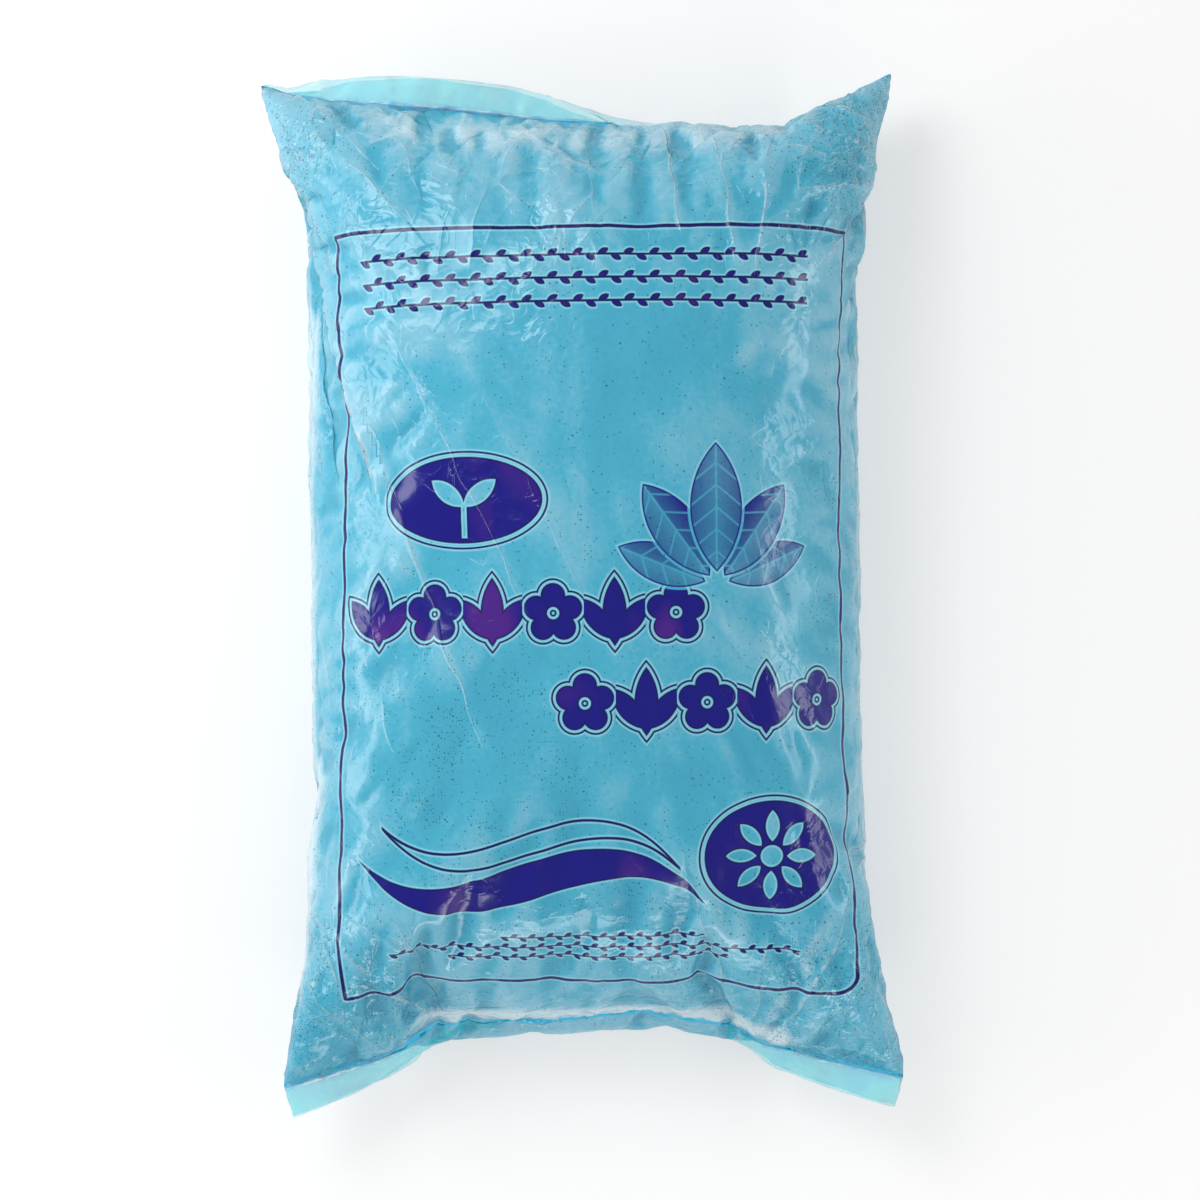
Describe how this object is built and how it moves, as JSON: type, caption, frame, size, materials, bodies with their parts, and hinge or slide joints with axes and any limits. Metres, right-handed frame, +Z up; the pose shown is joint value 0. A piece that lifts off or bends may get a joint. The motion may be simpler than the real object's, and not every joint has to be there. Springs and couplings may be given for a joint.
{
  "type": "compost bag",
  "caption": "Filled and sealed polyethylene sack of compost lying on its back, with a heat seal, corner ears and loose selvage at each end.",
  "frame": {"origin": "on the floor under the middle of the sack's box", "axes": "+X across the sack, to the right as the print reads; +Y along it towards the top seal; +Z up, out of the printed face"},
  "size_m": [0.426, 0.6944, 0.156],
  "materials": {
    "blue_film": "thin translucent cyan polyethylene film over dark compost, printed in indigo on the front"
  },
  "bodies": {
    "root": {"bag": "blue_film"}
  },
  "joints": []
}
